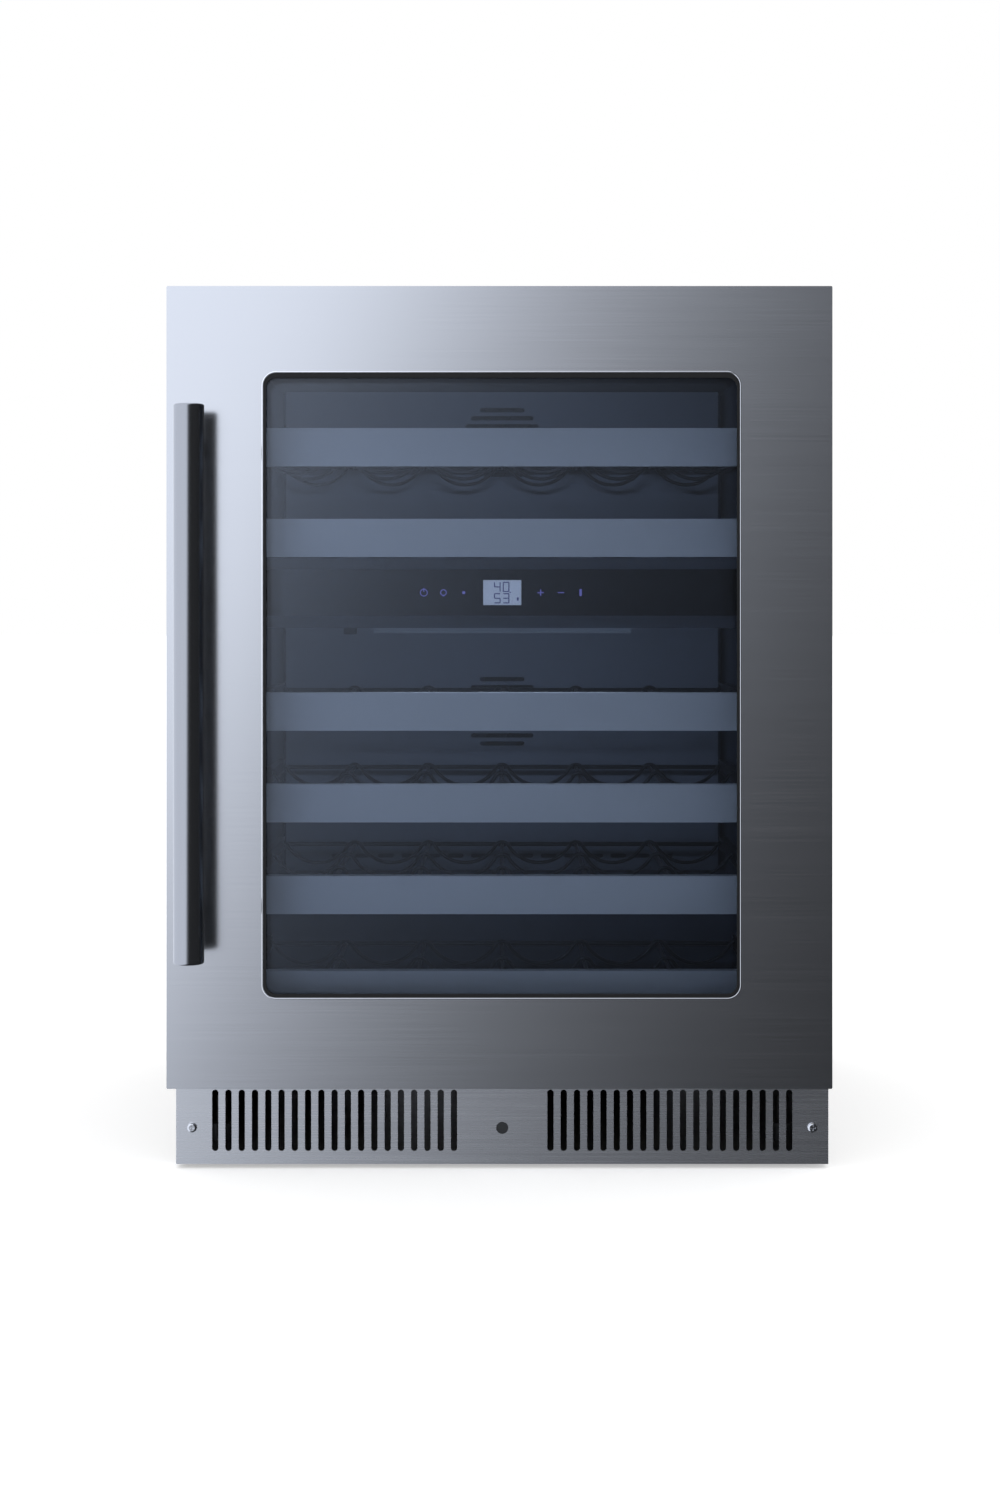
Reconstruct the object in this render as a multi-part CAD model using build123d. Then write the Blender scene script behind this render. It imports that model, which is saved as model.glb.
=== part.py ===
from build123d import *
import math
import os

# Built-in wine cooler with two zones: +Z up, front towards -Y, origin on the floor under the middle.

# Cabinet
cabinet_width = 595.0
cabinet_depth = 520.0
sheet = 1.0
liner_wall = 2.5
insulation_side = 45.0
insulation_top = 44.5
insulation_rear = 46.0
insulation_floor = 41.5
insulation_step = 41.5
plinth_height = 84.0
machine_depth = 188.0
machine_height = 156.0
base_sheet = 1.5
base_height = 14.0

# Door
door_width = 600.0
door_height = 723.4
door_depth = 44.0
door_clearance = 78.0
door_gap = 12.0
door_top_overhang = 1.4
skin_sheet = 1.2
skin_depth = 38.0
stile_left = 87.0
stile_right = 83.2
rail_top = 78.0
rail_bottom = 82.0
window_radius = 11.7
bead_side = 2.7
bead_top = 4.6
bead_bottom = 3.4
bead_recess = 0.4
bead_pad = 1.5
glass_margin = 14.0
pane = 4.0
pane_gap = 16.0
spacer_width = 7.0
spacer_inset = 2.0
inner_frame_margin = 9.0
inner_frame_inset = 1.5
gasket_inset = 30.0
gasket_width = 16.0
gasket_foot = 3.0
gasket_neck = 8.0
gasket_head = 4.5

# Handle and edge plugs
handle_diameter = 27.0
handle_length = 492.7
handle_low = 120.4
handle_inset = 26.4
handle_standoff = 45.0
post_diameter = 14.0
post_inset = 36.0
plug_diameter = 8.0
plug_proud = 0.9
plug_stem = 5.0
plug_stem_diameter = 6.0
plug_depth = 22.0
plug_spacing = 16.0
plug_low = 116.2
plug_high = 612.4

# Door hinges
hinge_inset = 12.0
hinge_depth = 30.0
hinge_pin_diameter = 8.0
hinge_pin_length = 18.0
hinge_bush_diameter = 14.0
bracket_sheet = 3.0
bracket_tongue = 4.0
bracket_tongue_width = 18.0
bracket_left = 14.0
bracket_right = 11.0
bracket_height = 58.0
tongue_lift = 4.0
tongue_room = 1.0

# Kick plate, lock and feet
kick_setback = 25.0
kick_sheet = 1.2
kick_low = 4.0
kick_high = 76.0
kick_return = 22.0
slot_count = 19
slot_pitch = 12.1
slot_width = 5.75
slot_length = 56.0
slot_low = 15.9
slot_first = 44.0
kick_screw_inset = 14.6
kick_screw_height = 37.4
ear_width = 26.0
lock_height = 37.0
lock_diameter = 10.4
lock_recess = 1.0
lock_wall = 4.0
lock_disc = 2.5
lock_disc_diameter = 20.0
lock_offset = 7.0
lock_pin_diameter = 4.0
lock_pin_play = 0.5
bolt_sheet = 3.0
bolt_width = 12.0
bolt_plate = 12.5
bolt_top = 75.0
housing_half_width = 17.0
housing_back = 3.0
keyway_width = 1.5
keyway_height = 6.5
foot_pad_diameter = 38.0
foot_pad = 9.0
foot_stud_diameter = 10.0
foot_stud_top = 56.0
foot_boss_diameter = 20.0
foot_boss = 16.0
foot_inset_side = 36.0
foot_inset_front = 48.0
foot_inset_rear = 34.0

# Racks and their rails
upper_rack_top = 678.7
upper_rack_pitch = 84.6
upper_rack_count = 2
lower_rack_top = 432.2
lower_rack_pitch = 85.4
lower_rack_count = 3
bottom_rack_drop = 88.5
rack_setback = 12.0
rack_front_height = 35.5
rack_front_sheet = 1.2
rack_front_return = 12.0
rack_front_margin = 10.0
rack_rear_gap = 15.0
cradle_count = 6
cradle_radius = 39.5
crest_radius = 8.0
cradle_low = 33.0
wire = 4.0
cross_wire = 5.0
wave_wires_full = 4
wave_wires_short = 3
weld = 0.4
bar_height = 10.0
bar_width = 5.5
bar_rise = 1.0
rail_sheet = 1.5
rail_lead = 3.0

# Zone divider, controls, lights and sensors
divider_low = 492.4
divider_height = 65.2
divider_setback = 14.0
fascia_sheet = 3.0
fascia_low = 11.4
fascia_height = 43.2
ledge_height = 2.6
ledge_reach = 4.5
display_width = 35.5
display_height = 23.3
display_sheet = 2.0
board_width = 260.0
board_height = 36.0
board_sheet = 1.6
board_pocket = 14.0
light_width = 240.0
light_depth = 8.0
light_height = 5.0
sensor_offset = -142.0
sensor_width = 12.0
sensor_height = 6.0

# Rear wall, fans and evaporators
duct_width = 483.0
duct_sheet = 2.0
plenum_depth = 42.0
duct_gap = 1.0
grille_slot = 5.0
grille_pitch = 9.0
return_slot_count = 15
return_slot_pitch = 26.0
return_slot_length = 18.0
return_slot_height = 16.0
zone_fan_bore = 92.0
zone_fan_frame = 100.0
zone_fan_depth = 24.0
condenser_fan_bore = 118.0
condenser_fan_frame = 128.0
condenser_fan_depth = 30.0
fan_blade_count = 7
fan_blade_pitch = 32.0
fan_blade_sheet = 1.6
fan_tip_gap = 2.0
fan_hub_share = 0.38
fan_shaft_diameter = 4.0
fan_strut = 5.0
evaporator_width = 360.0
evaporator_height = 54.0
evaporator_sheet = 1.5
evaporator_tube = 8.0
evaporator_runs = 3
evaporator_lift = 26.0

# Machine space
compressor_x = 96.0
compressor_diameter = 140.0
compressor_can = 116.0
compressor_crown = 30.0
compressor_plate_width = 190.0
compressor_plate_depth = 130.0
compressor_plate_sheet = 3.0
compressor_stub = 9.0
grommet_diameter = 24.0
grommet_height = 10.0
grommet_inset = 15.0
terminal_box = 34.0
condenser_x = -196.0
condenser_thickness = 48.0
condenser_depth = 128.0
condenser_height = 124.0
condenser_fins = 18
condenser_fin_sheet = 1.0
condenser_end_sheet = 2.0
condenser_tubes = 4
condenser_tube = 9.0
condenser_stub = 8.0
fan_gap = 12.0
line_diameter = 6.0
line_bend = 16.0
drier_diameter = 10.0
drier_length = 62.0
tray_width = 124.0
tray_depth = 96.0
tray_height = 13.0
tray_wall = 2.0
inlet_width = 28.0
inlet_height = 20.0
inlet_depth = 24.0
inlet_wall = 2.5
inlet_lip = 3.0
inlet_blade = 2.0
cover_slot_count = 14
cover_slot_pitch = 13.0
cover_slot_width = 5.0
cover_slot_length = 70.0
cover_slot_offset = 150.0

# Fasteners and clearances
screw_head_diameter = 8.6
screw_head = 2.6
screw_shank_diameter = 4.0
screw_length = 12.0
cross_width = 1.2
cross_length = 5.2
cross_depth = 1.4
run_gap = 0.05
fit_gap = 0.1
slide_gap = 0.5
body_gap = 0.3

# Planes and edges that several pieces share
handle_reach = handle_standoff + handle_diameter / 2
total_depth = handle_reach + door_depth + door_gap + cabinet_depth
y_rear = total_depth / 2
y_cabinet = y_rear - cabinet_depth
y_door_back = y_cabinet - door_gap
y_door = y_door_back - door_depth
door_x0 = -(door_width + plug_proud) / 2
door_x1 = door_x0 + door_width
door_z0 = door_clearance
door_z1 = door_z0 + door_height
cabinet_x1 = door_x1
cabinet_x0 = cabinet_x1 - cabinet_width
cabinet_x = (cabinet_x0 + cabinet_x1) / 2
cabinet_z1 = door_z1 - door_top_overhang
inside_x0 = cabinet_x0 + sheet
inside_x1 = cabinet_x1 - sheet
inside_z1 = cabinet_z1 - sheet
inside_y1 = y_rear - sheet
base_top = base_height + base_sheet

cavity_x0 = inside_x0 + insulation_side + liner_wall
cavity_x1 = inside_x1 - insulation_side - liner_wall
cavity_z0 = plinth_height + insulation_floor + liner_wall
cavity_z1 = inside_z1 - insulation_top - liner_wall
cavity_y1 = inside_y1 - insulation_rear - liner_wall
machine_y0 = inside_y1 - machine_depth
machine_z1 = base_top + machine_height
step_y = machine_y0 - insulation_step - liner_wall
step_z = machine_z1 + insulation_step + liner_wall
duct_y = cavity_y1 - plenum_depth - duct_sheet
divider_z1 = divider_low + divider_height
divider_y = y_cabinet + divider_setback

window_x0 = door_x0 + stile_left
window_x1 = door_x1 - stile_right
window_z0 = door_z0 + rail_bottom
window_z1 = door_z1 - rail_top
glass_y = y_door + skin_sheet + bead_pad
glass_back_y = glass_y + 2 * pane + pane_gap
skin_back_y = y_door + skin_depth

hinge_x = door_x1 - hinge_inset
hinge_y = y_door + hinge_depth
notch_height = tongue_lift + bracket_tongue + tongue_room

kick_y = y_door + kick_setback
kick_back_y = kick_y + kick_sheet
base_x0 = cabinet_x0 + kick_sheet + body_gap
base_x1 = cabinet_x1 - kick_sheet - body_gap
bolt_y = kick_back_y + lock_wall + lock_disc + slide_gap
bolt_travel = 2 * lock_offset * math.sin(math.pi / 4)

rack_y = y_cabinet + rack_setback
rack_tops = [upper_rack_top - i * upper_rack_pitch for i in range(upper_rack_count)]
rack_tops += [lower_rack_top - i * lower_rack_pitch for i in range(lower_rack_count)]
rack_tops += [rack_tops[-1] - bottom_rack_drop]
rail_depth = rail_sheet + bar_width + 2 * slide_gap
rail_height = bar_height + 2 * slide_gap + 2 * rail_sheet
crest_rise = crest_radius + cradle_radius
crest_half_pitch = (cavity_x1 - cavity_x0 - 2 * (rail_sheet + slide_gap) - bar_width) / (2 * cradle_count)
cradle_angle = math.degrees(math.asin(crest_half_pitch / crest_rise))
cradle_depth = crest_rise * (1 - math.cos(math.radians(cradle_angle)))
wire_drop = cradle_low - cradle_depth + wire - weld


def block(x0, x1, y0, y1, z0, z1):
    """Box given by its low and high edges."""
    return Pos((x0 + x1) / 2, (y0 + y1) / 2, (z0 + z1) / 2) * Box(x1 - x0, y1 - y0, z1 - z0)


def rod(start, direction, diameter, length):
    """Round bar from a point along a direction."""
    return extrude(Plane(origin=start, z_dir=direction) * Circle(diameter / 2), amount=length)


def front_plane(x, y, z):
    """Plane facing the rear, so that an extrusion runs along +Y."""
    return Plane(origin=(x, y, z), x_dir=(1, 0, 0), z_dir=(0, 1, 0))


def plate(x0, x1, z0, z1, radius, y0, y1):
    """Flat plate with round corners, seen from the front."""
    outline = RectangleRounded(x1 - x0, z1 - z0, radius)
    return extrude(front_plane((x0 + x1) / 2, y0, (z0 + z1) / 2) * outline, amount=y1 - y0)


def window_plate(grow, y0, y1):
    """Plate of the window's outline, grown on every side."""
    radius = max(window_radius + grow, 1.0)
    return plate(window_x0 - grow, window_x1 + grow, window_z0 - grow, window_z1 + grow, radius, y0, y1)


def door_ring(inset, width, y0, y1):
    """Square frame on the back of the door, inset from the door's edges."""
    outer = block(door_x0 + inset, door_x1 - inset, y0, y1, door_z0 + inset, door_z1 - inset)
    hole = inset + width
    return outer - block(door_x0 + hole, door_x1 - hole, y0, y1, door_z0 + hole, door_z1 - hole)


def tube(points, diameter, bend):
    """Bent pipe along straight runs with round corners."""
    path = FilletPolyline(*points, radius=bend)
    return sweep(Plane(origin=path @ 0, z_dir=path % 0) * Circle(diameter / 2), path=path)


def pan_screw(x, y, z):
    """Cross-head screw driven towards +Y, with its head in front of y."""
    head = rod((x, y - screw_head, z), (0, 1, 0), screw_head_diameter, screw_head)
    head = fillet(head.edges().group_by(Axis.Y)[0], screw_head * 0.6)
    bar = block(x - cross_width / 2, x + cross_width / 2, y - screw_head, y - screw_head + cross_depth,
                z - cross_length / 2, z + cross_length / 2)
    turned = Pos(x, 0, z) * Rot(0, 90, 0) * Pos(-x, 0, -z) * bar
    return head + rod((x, y, z), (0, 1, 0), screw_shank_diameter, screw_length) - bar - turned


def screw_hole(x, y0, y1, z):
    """Clearance hole for a screw shank, from y0 to y1."""
    return rod((x, y0, z), (0, 1, 0), screw_shank_diameter + 2 * fit_gap, y1 - y0)


def slot_row(place, pitch, count, outline, depth):
    """Evenly spaced cuts of one outline along a plane's X direction."""
    shifts = [(i - (count - 1) / 2) * pitch for i in range(count)]
    return [extrude(place * Pos(shift, 0) * outline, amount=depth) for shift in shifts]


def save(name, *shapes):
    """Write one node, as one solid or as a group of like solids."""
    solids = [solid for shape in shapes for solid in shape.solids()]
    whole = solids[0] if len(solids) == 1 else Compound(solids)
    export_step(whole, os.path.join("parts", name + ".step"))


def hinge_ends():
    """Base height and upward sense of the lower and the upper hinge."""
    return [(door_z0, 1), (door_z1, -1)]


def span(a, b):
    """Two heights in rising order."""
    return (min(a, b), max(a, b))


def hinge_notches():
    """Rear corners that the door leaves free for the bracket tongues to swing in."""
    notches = []
    for edge, up in hinge_ends():
        low, high = span(edge - up, edge + up * notch_height)
        notches.append(block(hinge_x - bracket_left, door_x1 + 1, y_door + skin_sheet, y_cabinet, low, high))
    return notches


def bracket_screw_heights(edge, up):
    """Heights of the two screws of a hinge bracket."""
    return [edge + up * (tongue_lift + bracket_height * share) for share in (0.4, 0.8)]


def bracket_screws():
    """Places of all bracket screws on the cabinet front."""
    return [(hinge_x, z) for edge, up in hinge_ends() for z in bracket_screw_heights(edge, up)]


def kick_screws():
    """Places of the two kick plate screws."""
    sides = (cabinet_x0 + kick_screw_inset, cabinet_x1 - kick_screw_inset)
    return [(x, kick_screw_height) for x in sides]


def foot_places():
    """Names and places of the four feet."""
    sides = {"left": cabinet_x0 + foot_inset_side, "right": cabinet_x1 - foot_inset_side}
    ends = {"front": kick_y + foot_inset_front, "rear": y_rear - foot_inset_rear}
    return {f"foot_{end}_{side}": (x, y) for end, y in ends.items() for side, x in sides.items()}


def build_cabinet():
    """Sheet panels, poured insulation and inner liner."""
    save("side_panels", block(cabinet_x0, inside_x0, y_cabinet, y_rear, base_height, cabinet_z1),
         block(inside_x1, cabinet_x1, y_cabinet, y_rear, base_height, cabinet_z1))
    save("top_panel", block(inside_x0, inside_x1, y_cabinet, y_rear, inside_z1, cabinet_z1))

    cavity = block(cavity_x0, cavity_x1, y_cabinet, cavity_y1, cavity_z0, cavity_z1)
    cavity -= block(cavity_x0, cavity_x1, step_y, cavity_y1, cavity_z0, step_z)
    wall = liner_wall
    shell = block(cavity_x0 - wall, cavity_x1 + wall, y_cabinet, cavity_y1 + wall,
                  cavity_z0 - wall, cavity_z1 + wall)
    shell -= block(cavity_x0 - wall, cavity_x1 + wall, step_y + wall, cavity_y1 + wall,
                   cavity_z0 - wall, step_z - wall)
    flange = block(inside_x0, inside_x1, y_cabinet, y_cabinet + wall, plinth_height, inside_z1)
    holes = [screw_hole(x, y_cabinet, y_cabinet + screw_length, z) for x, z in bracket_screws()]
    save("inner_liner", (shell + flange) - cavity - holes)

    foam = block(inside_x0, inside_x1, y_cabinet + wall, inside_y1, plinth_height, inside_z1)
    foam -= block(inside_x0, inside_x1, machine_y0, inside_y1, plinth_height, machine_z1)
    save("insulation", foam - shell - holes)


def build_base():
    """Base pan with foot bosses and ears for the kick plate."""
    floor = block(base_x0, base_x1, kick_back_y, inside_y1, base_height, base_top)
    walls = []
    for x0, x1 in ((base_x0, base_x0 + base_sheet), (base_x1 - base_sheet, base_x1)):
        walls.append(block(x0, x1, y_cabinet, inside_y1, base_top, plinth_height))
    ear_top = kick_screw_height + ear_width / 2
    ears = [block(base_x0, base_x0 + ear_width, kick_back_y, kick_back_y + base_sheet, base_top, ear_top),
            block(base_x1 - ear_width, base_x1, kick_back_y, kick_back_y + base_sheet, base_top, ear_top)]
    pan = floor + walls + ears
    for x, y in foot_places().values():
        pan += rod((x, y, base_top), (0, 0, 1), foot_boss_diameter, foot_boss)
    for x, y in foot_places().values():
        pan -= rod((x, y, base_height), (0, 0, 1), foot_stud_diameter + 2 * run_gap, plinth_height)
    for x, z in kick_screws():
        pan -= screw_hole(x, kick_back_y, kick_back_y + base_sheet, z)
    save("base_pan", pan)


def build_rear():
    """Rear panel with air slots over the machine space, and the recessed mains inlet in it."""
    cover_z = (base_top + machine_z1) / 2
    cover = block(inside_x0, inside_x1, inside_y1, y_rear, base_top, inside_z1)
    slot = SlotOverall(cover_slot_length, cover_slot_width, rotation=90)
    for side in (-1, 1):
        place = front_plane(cabinet_x + side * cover_slot_offset, inside_y1, cover_z)
        cover -= slot_row(place, cover_slot_pitch, cover_slot_count, slot, sheet)
    inlet_x = cabinet_x
    gap = fit_gap
    cover -= block(inlet_x - inlet_width / 2 - gap, inlet_x + inlet_width / 2 + gap, inside_y1, y_rear,
                   cover_z - inlet_height / 2 - gap, cover_z + inlet_height / 2 + gap)
    save("rear_panel", cover)

    half_w, half_h = inlet_width / 2, inlet_height / 2
    inlet = block(inlet_x - half_w, inlet_x + half_w, y_rear - inlet_depth, y_rear,
                  cover_z - half_h, cover_z + half_h)
    inlet += block(inlet_x - half_w - inlet_lip, inlet_x + half_w + inlet_lip, inside_y1 - inlet_lip,
                   inside_y1, cover_z - half_h - inlet_lip, cover_z + half_h + inlet_lip)
    inlet -= block(inlet_x - half_w + inlet_wall, inlet_x + half_w - inlet_wall,
                   y_rear - inlet_depth + inlet_wall, y_rear,
                   cover_z - half_h + inlet_wall, cover_z + half_h - inlet_wall)
    for shift, lift in ((-7, -2), (7, -2), (0, 2)):
        inlet += block(inlet_x + shift - inlet_blade / 2, inlet_x + shift + inlet_blade / 2,
                       y_rear - inlet_depth, y_rear - 2 * inlet_lip,
                       cover_z + lift - inlet_blade, cover_z + lift + inlet_blade)
    save("mains_inlet", inlet)


def build_feet():
    """Levelling feet: a pad on a stud that runs in the base pan's boss."""
    for name, (x, y) in foot_places().items():
        pad = rod((x, y, 0), (0, 0, 1), foot_pad_diameter, foot_pad)
        pad = chamfer(pad.edges().group_by(Axis.Z)[-1], foot_pad * 0.4)
        save(name, pad + rod((x, y, foot_pad), (0, 0, 1), foot_stud_diameter, foot_stud_top - foot_pad))


def build_kick_plate():
    """Slotted plate under the door."""
    face = block(cabinet_x0, cabinet_x1, kick_y, kick_back_y, kick_low, kick_high)
    ends = [block(cabinet_x0, cabinet_x0 + kick_sheet, kick_y, kick_y + kick_return, kick_low, kick_high),
            block(cabinet_x1 - kick_sheet, cabinet_x1, kick_y, kick_y + kick_return, kick_low, kick_high)]
    slot = SlotOverall(slot_length, slot_width, rotation=90)
    middle = slot_first + (slot_count - 1) * slot_pitch / 2
    cuts = []
    for side in (-1, 1):
        place = front_plane(cabinet_x + side * middle, kick_y, slot_low + slot_length / 2)
        cuts += slot_row(place, slot_pitch, slot_count, slot, kick_sheet)
    cuts += [screw_hole(x, kick_y, kick_back_y, z) for x, z in kick_screws()]
    cuts.append(rod((cabinet_x, kick_y, lock_height), (0, 1, 0), lock_diameter + 2 * body_gap, kick_sheet))
    save("kick_plate", face + ends - cuts)


def build_lock():
    """Key lock: the barrel's cam pin lifts a bolt into the door's lower edge."""
    x, z = cabinet_x, lock_height
    disc_y = kick_back_y + lock_wall + slide_gap / 2
    pocket_back = bolt_y + bolt_sheet + slide_gap
    disc_room = lock_disc_diameter / 2 + slide_gap
    plate_room = bolt_plate + slide_gap
    housing = block(x - housing_half_width, x + housing_half_width, kick_back_y, pocket_back + housing_back,
                    base_top, kick_high - body_gap)
    housing -= rod((x, kick_back_y, z), (0, 1, 0), lock_diameter + 2 * run_gap, lock_wall)
    housing -= block(x - plate_room, x + plate_room, kick_back_y + lock_wall, pocket_back,
                     z - disc_room - lock_pin_diameter, kick_high)
    save("lock_housing", housing)

    front_y = kick_y + lock_recess
    barrel = rod((x, front_y, z), (0, 1, 0), lock_diameter, disc_y - front_y)
    barrel += rod((x, disc_y, z), (0, 1, 0), lock_disc_diameter, lock_disc)
    reach = lock_offset * math.sin(math.pi / 4)
    pin_length = bolt_y + bolt_sheet - disc_y
    barrel += rod((x + reach, disc_y, z - reach), (0, 1, 0), lock_pin_diameter, pin_length)
    barrel -= block(x - keyway_width / 2, x + keyway_width / 2, front_y, kick_back_y,
                    z - keyway_height / 2, z + keyway_height / 2)
    save("lock_barrel", barrel)

    slot_half = lock_pin_diameter / 2 + lock_pin_play
    low = z - reach - slot_half - bolt_sheet
    shoulder = z + reach
    bolt = block(x - bolt_plate, x + bolt_plate, bolt_y, bolt_y + bolt_sheet, low, shoulder)
    bolt += block(x - bolt_width / 2, x + bolt_width / 2, bolt_y, bolt_y + bolt_sheet, shoulder, bolt_top)
    bolt -= block(x + reach - slot_half, x + lock_offset + slot_half, bolt_y, bolt_y + bolt_sheet,
                  z - reach - slot_half, z - reach + slot_half)
    save("lock_bolt", bolt)


def bolt_slot():
    """Slot in the door's lower edge that the lock bolt enters."""
    half = bolt_width / 2 + slide_gap
    return block(cabinet_x - half, cabinet_x + half, bolt_y - slide_gap, bolt_y + bolt_sheet + slide_gap,
                 door_z0, bolt_top + bolt_travel + 1)


def plug_heights():
    """Heights of the hole plugs on the hinge-side door edge."""
    shifts = (-plug_spacing / 2, plug_spacing / 2)
    return [door_z0 + low + shift for low in (plug_low, plug_high) for shift in shifts]


def handle_places():
    """Axis position and the two post heights of the handle."""
    low = door_z0 + handle_low
    return door_x0 + handle_inset, (low + post_inset, low + handle_length - post_inset)


def build_door():
    """Door skin, core, glass unit, inner frame and gasket."""
    plug_holes = [rod((door_x1, y_door + plug_depth, z), (-1, 0, 0), plug_stem_diameter + 2 * fit_gap,
                      plug_stem + fit_gap) for z in plug_heights()]
    wall = skin_sheet
    skin = block(door_x0, door_x1, y_door, skin_back_y, door_z0, door_z1)
    hollow = block(door_x0 + wall, door_x1 - wall, y_door + wall, skin_back_y, door_z0 + wall, door_z1 - wall)
    corners = skin.edges().filter_by(Axis.Y)
    skin = fillet(corners, wall) - hollow - window_plate(0, y_door, y_door + wall)
    save("door_skin", skin - hinge_notches() - plug_holes - bolt_slot())

    bush_holes = []
    for edge, up in hinge_ends():
        start = (hinge_x, hinge_y, edge + up * notch_height)
        bush_holes.append(rod(start, (0, 0, up), hinge_bush_diameter + 2 * fit_gap, hinge_pin_length))
    core = hollow - window_plate(glass_margin + body_gap, y_door, skin_back_y)
    save("door_core", core - hinge_notches() - bush_holes - plug_holes - bolt_slot())

    bead_inner = plate(window_x0 + bead_side, window_x1 - bead_side, window_z0 + bead_bottom,
                       window_z1 - bead_top, max(window_radius - bead_side, 1.0), y_door, glass_y)
    lip = window_plate(-fit_gap, y_door + bead_recess, y_door + wall)
    pad = window_plate(glass_margin, y_door + wall, glass_y)
    save("window_bead", lip + pad - bead_inner)

    save("outer_glass", window_plate(glass_margin, glass_y, glass_y + pane))
    inner_y = glass_y + pane + pane_gap
    margin = glass_margin - spacer_inset
    spacer = window_plate(margin, glass_y + pane, inner_y)
    save("glass_spacer", spacer - window_plate(margin - spacer_width, glass_y + pane, inner_y))
    save("inner_glass", window_plate(glass_margin, inner_y, glass_back_y))

    inset = inner_frame_inset
    frame = block(door_x0 + inset, door_x1 - inset, skin_back_y, y_door_back, door_z0 + inset, door_z1 - inset)
    frame += window_plate(glass_margin, glass_back_y, skin_back_y)
    frame -= window_plate(inner_frame_margin, glass_back_y, y_door_back)
    save("door_inner_frame", frame - hinge_notches())

    foot_y = y_door_back + gasket_foot
    head_y = y_cabinet - body_gap - gasket_head
    gasket = door_ring(gasket_inset, gasket_width, y_door_back, foot_y)
    neck_inset = gasket_inset + (gasket_width - gasket_neck) / 2
    gasket += door_ring(neck_inset, gasket_neck, foot_y, head_y)
    gasket += door_ring(gasket_inset, gasket_width, head_y, y_cabinet - body_gap)
    save("door_gasket", gasket)


def build_handle():
    """Round bar on two posts, and the hole plugs of the other door edge."""
    handle_x, post_heights = handle_places()
    axis_y = y_door - handle_standoff
    bar = rod((handle_x, axis_y, door_z0 + handle_low), (0, 0, 1), handle_diameter, handle_length)
    save("handle_bar", fillet(bar.edges().filter_by(GeomType.CIRCLE), handle_diameter * 0.06))

    seat = rod((handle_x, axis_y, door_z0), (0, 0, 1), handle_diameter + 2 * run_gap, door_height)
    posts = [rod((handle_x, axis_y, z), (0, 1, 0), post_diameter, handle_standoff) - seat for z in post_heights]
    save("handle_posts", *posts)

    plugs = []
    for z in plug_heights():
        cap = rod((door_x1, y_door + plug_depth, z), (1, 0, 0), plug_diameter, plug_proud)
        plugs.append(cap + rod((door_x1, y_door + plug_depth, z), (-1, 0, 0), plug_stem_diameter, plug_stem))
    save("edge_plugs", *plugs)


def build_hinges():
    """Brackets on the cabinet front, their pins, the bushes in the door, and the cabinet's screws."""
    brackets, pins, bushes = [], [], []
    for edge, up in hinge_ends():
        base = edge + up * tongue_lift
        low, high = span(base, base + up * bracket_height)
        bracket = block(hinge_x - bracket_left, hinge_x + bracket_right, y_cabinet - bracket_sheet, y_cabinet,
                        low, high)
        low, high = span(base, base + up * bracket_tongue)
        half = bracket_tongue_width / 2
        bracket += block(hinge_x - half, hinge_x + half, hinge_y, y_cabinet, low, high)
        bracket += rod((hinge_x, hinge_y, base), (0, 0, up), bracket_tongue_width, bracket_tongue)
        bracket -= rod((hinge_x, hinge_y, base), (0, 0, up), hinge_pin_diameter + 2 * run_gap, bracket_tongue)
        for z in bracket_screw_heights(edge, up):
            bracket -= screw_hole(hinge_x, y_cabinet - bracket_sheet, y_cabinet, z)
        brackets.append(bracket)
        reach = bracket_tongue + tongue_room + hinge_pin_length
        pins.append(rod((hinge_x, hinge_y, base), (0, 0, up), hinge_pin_diameter, reach))
        start = (hinge_x, hinge_y, edge + up * notch_height)
        bush = rod(start, (0, 0, up), hinge_bush_diameter, hinge_pin_length)
        bushes.append(bush - rod(start, (0, 0, up), hinge_pin_diameter + 2 * run_gap, hinge_pin_length))
    save("hinge_brackets", *brackets)
    save("hinge_pins", *pins)
    save("hinge_bushes", *bushes)
    screws = [pan_screw(x, kick_y, z) for x, z in kick_screws()]
    screws += [pan_screw(x, y_cabinet - bracket_sheet, z) for x, z in bracket_screws()]
    save("cabinet_screws", *screws)


def rack_rear(index):
    """Rear end of a rack: the lowest one stops in front of the machine step."""
    return (step_y if index == len(rack_tops) - 1 else duct_y) - rack_rear_gap


def bar_edges():
    """Inner edges of the two runner bars, on the left and on the right."""
    offset = rail_sheet + slide_gap
    return cavity_x0 + offset, cavity_x1 - offset - bar_width


def wave_path(y, top):
    """Row of cradles: wide arcs that hold, joined by small tangent crest arcs."""
    left, right = bar_edges()
    start = left + bar_width / 2
    pitch = 2 * crest_half_pitch
    low = top - cradle_low
    plane = Plane(origin=(0, y, 0), x_dir=(1, 0, 0), z_dir=(0, -1, 0))
    angle = cradle_angle
    edges = []
    for i in range(cradle_count):
        middle = start + (i + 0.5) * pitch
        crest_z = low + cradle_depth - crest_radius
        edges.append(CenterArc((middle - crest_half_pitch, crest_z), crest_radius, 90, -angle))
        edges.append(CenterArc((middle, low + cradle_radius), cradle_radius, 270 - angle, 2 * angle))
        edges.append(CenterArc((middle + crest_half_pitch, crest_z), crest_radius, 90 + angle, -angle))
    return plane * Wire([edge for curve in edges for edge in curve.edges()])


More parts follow.
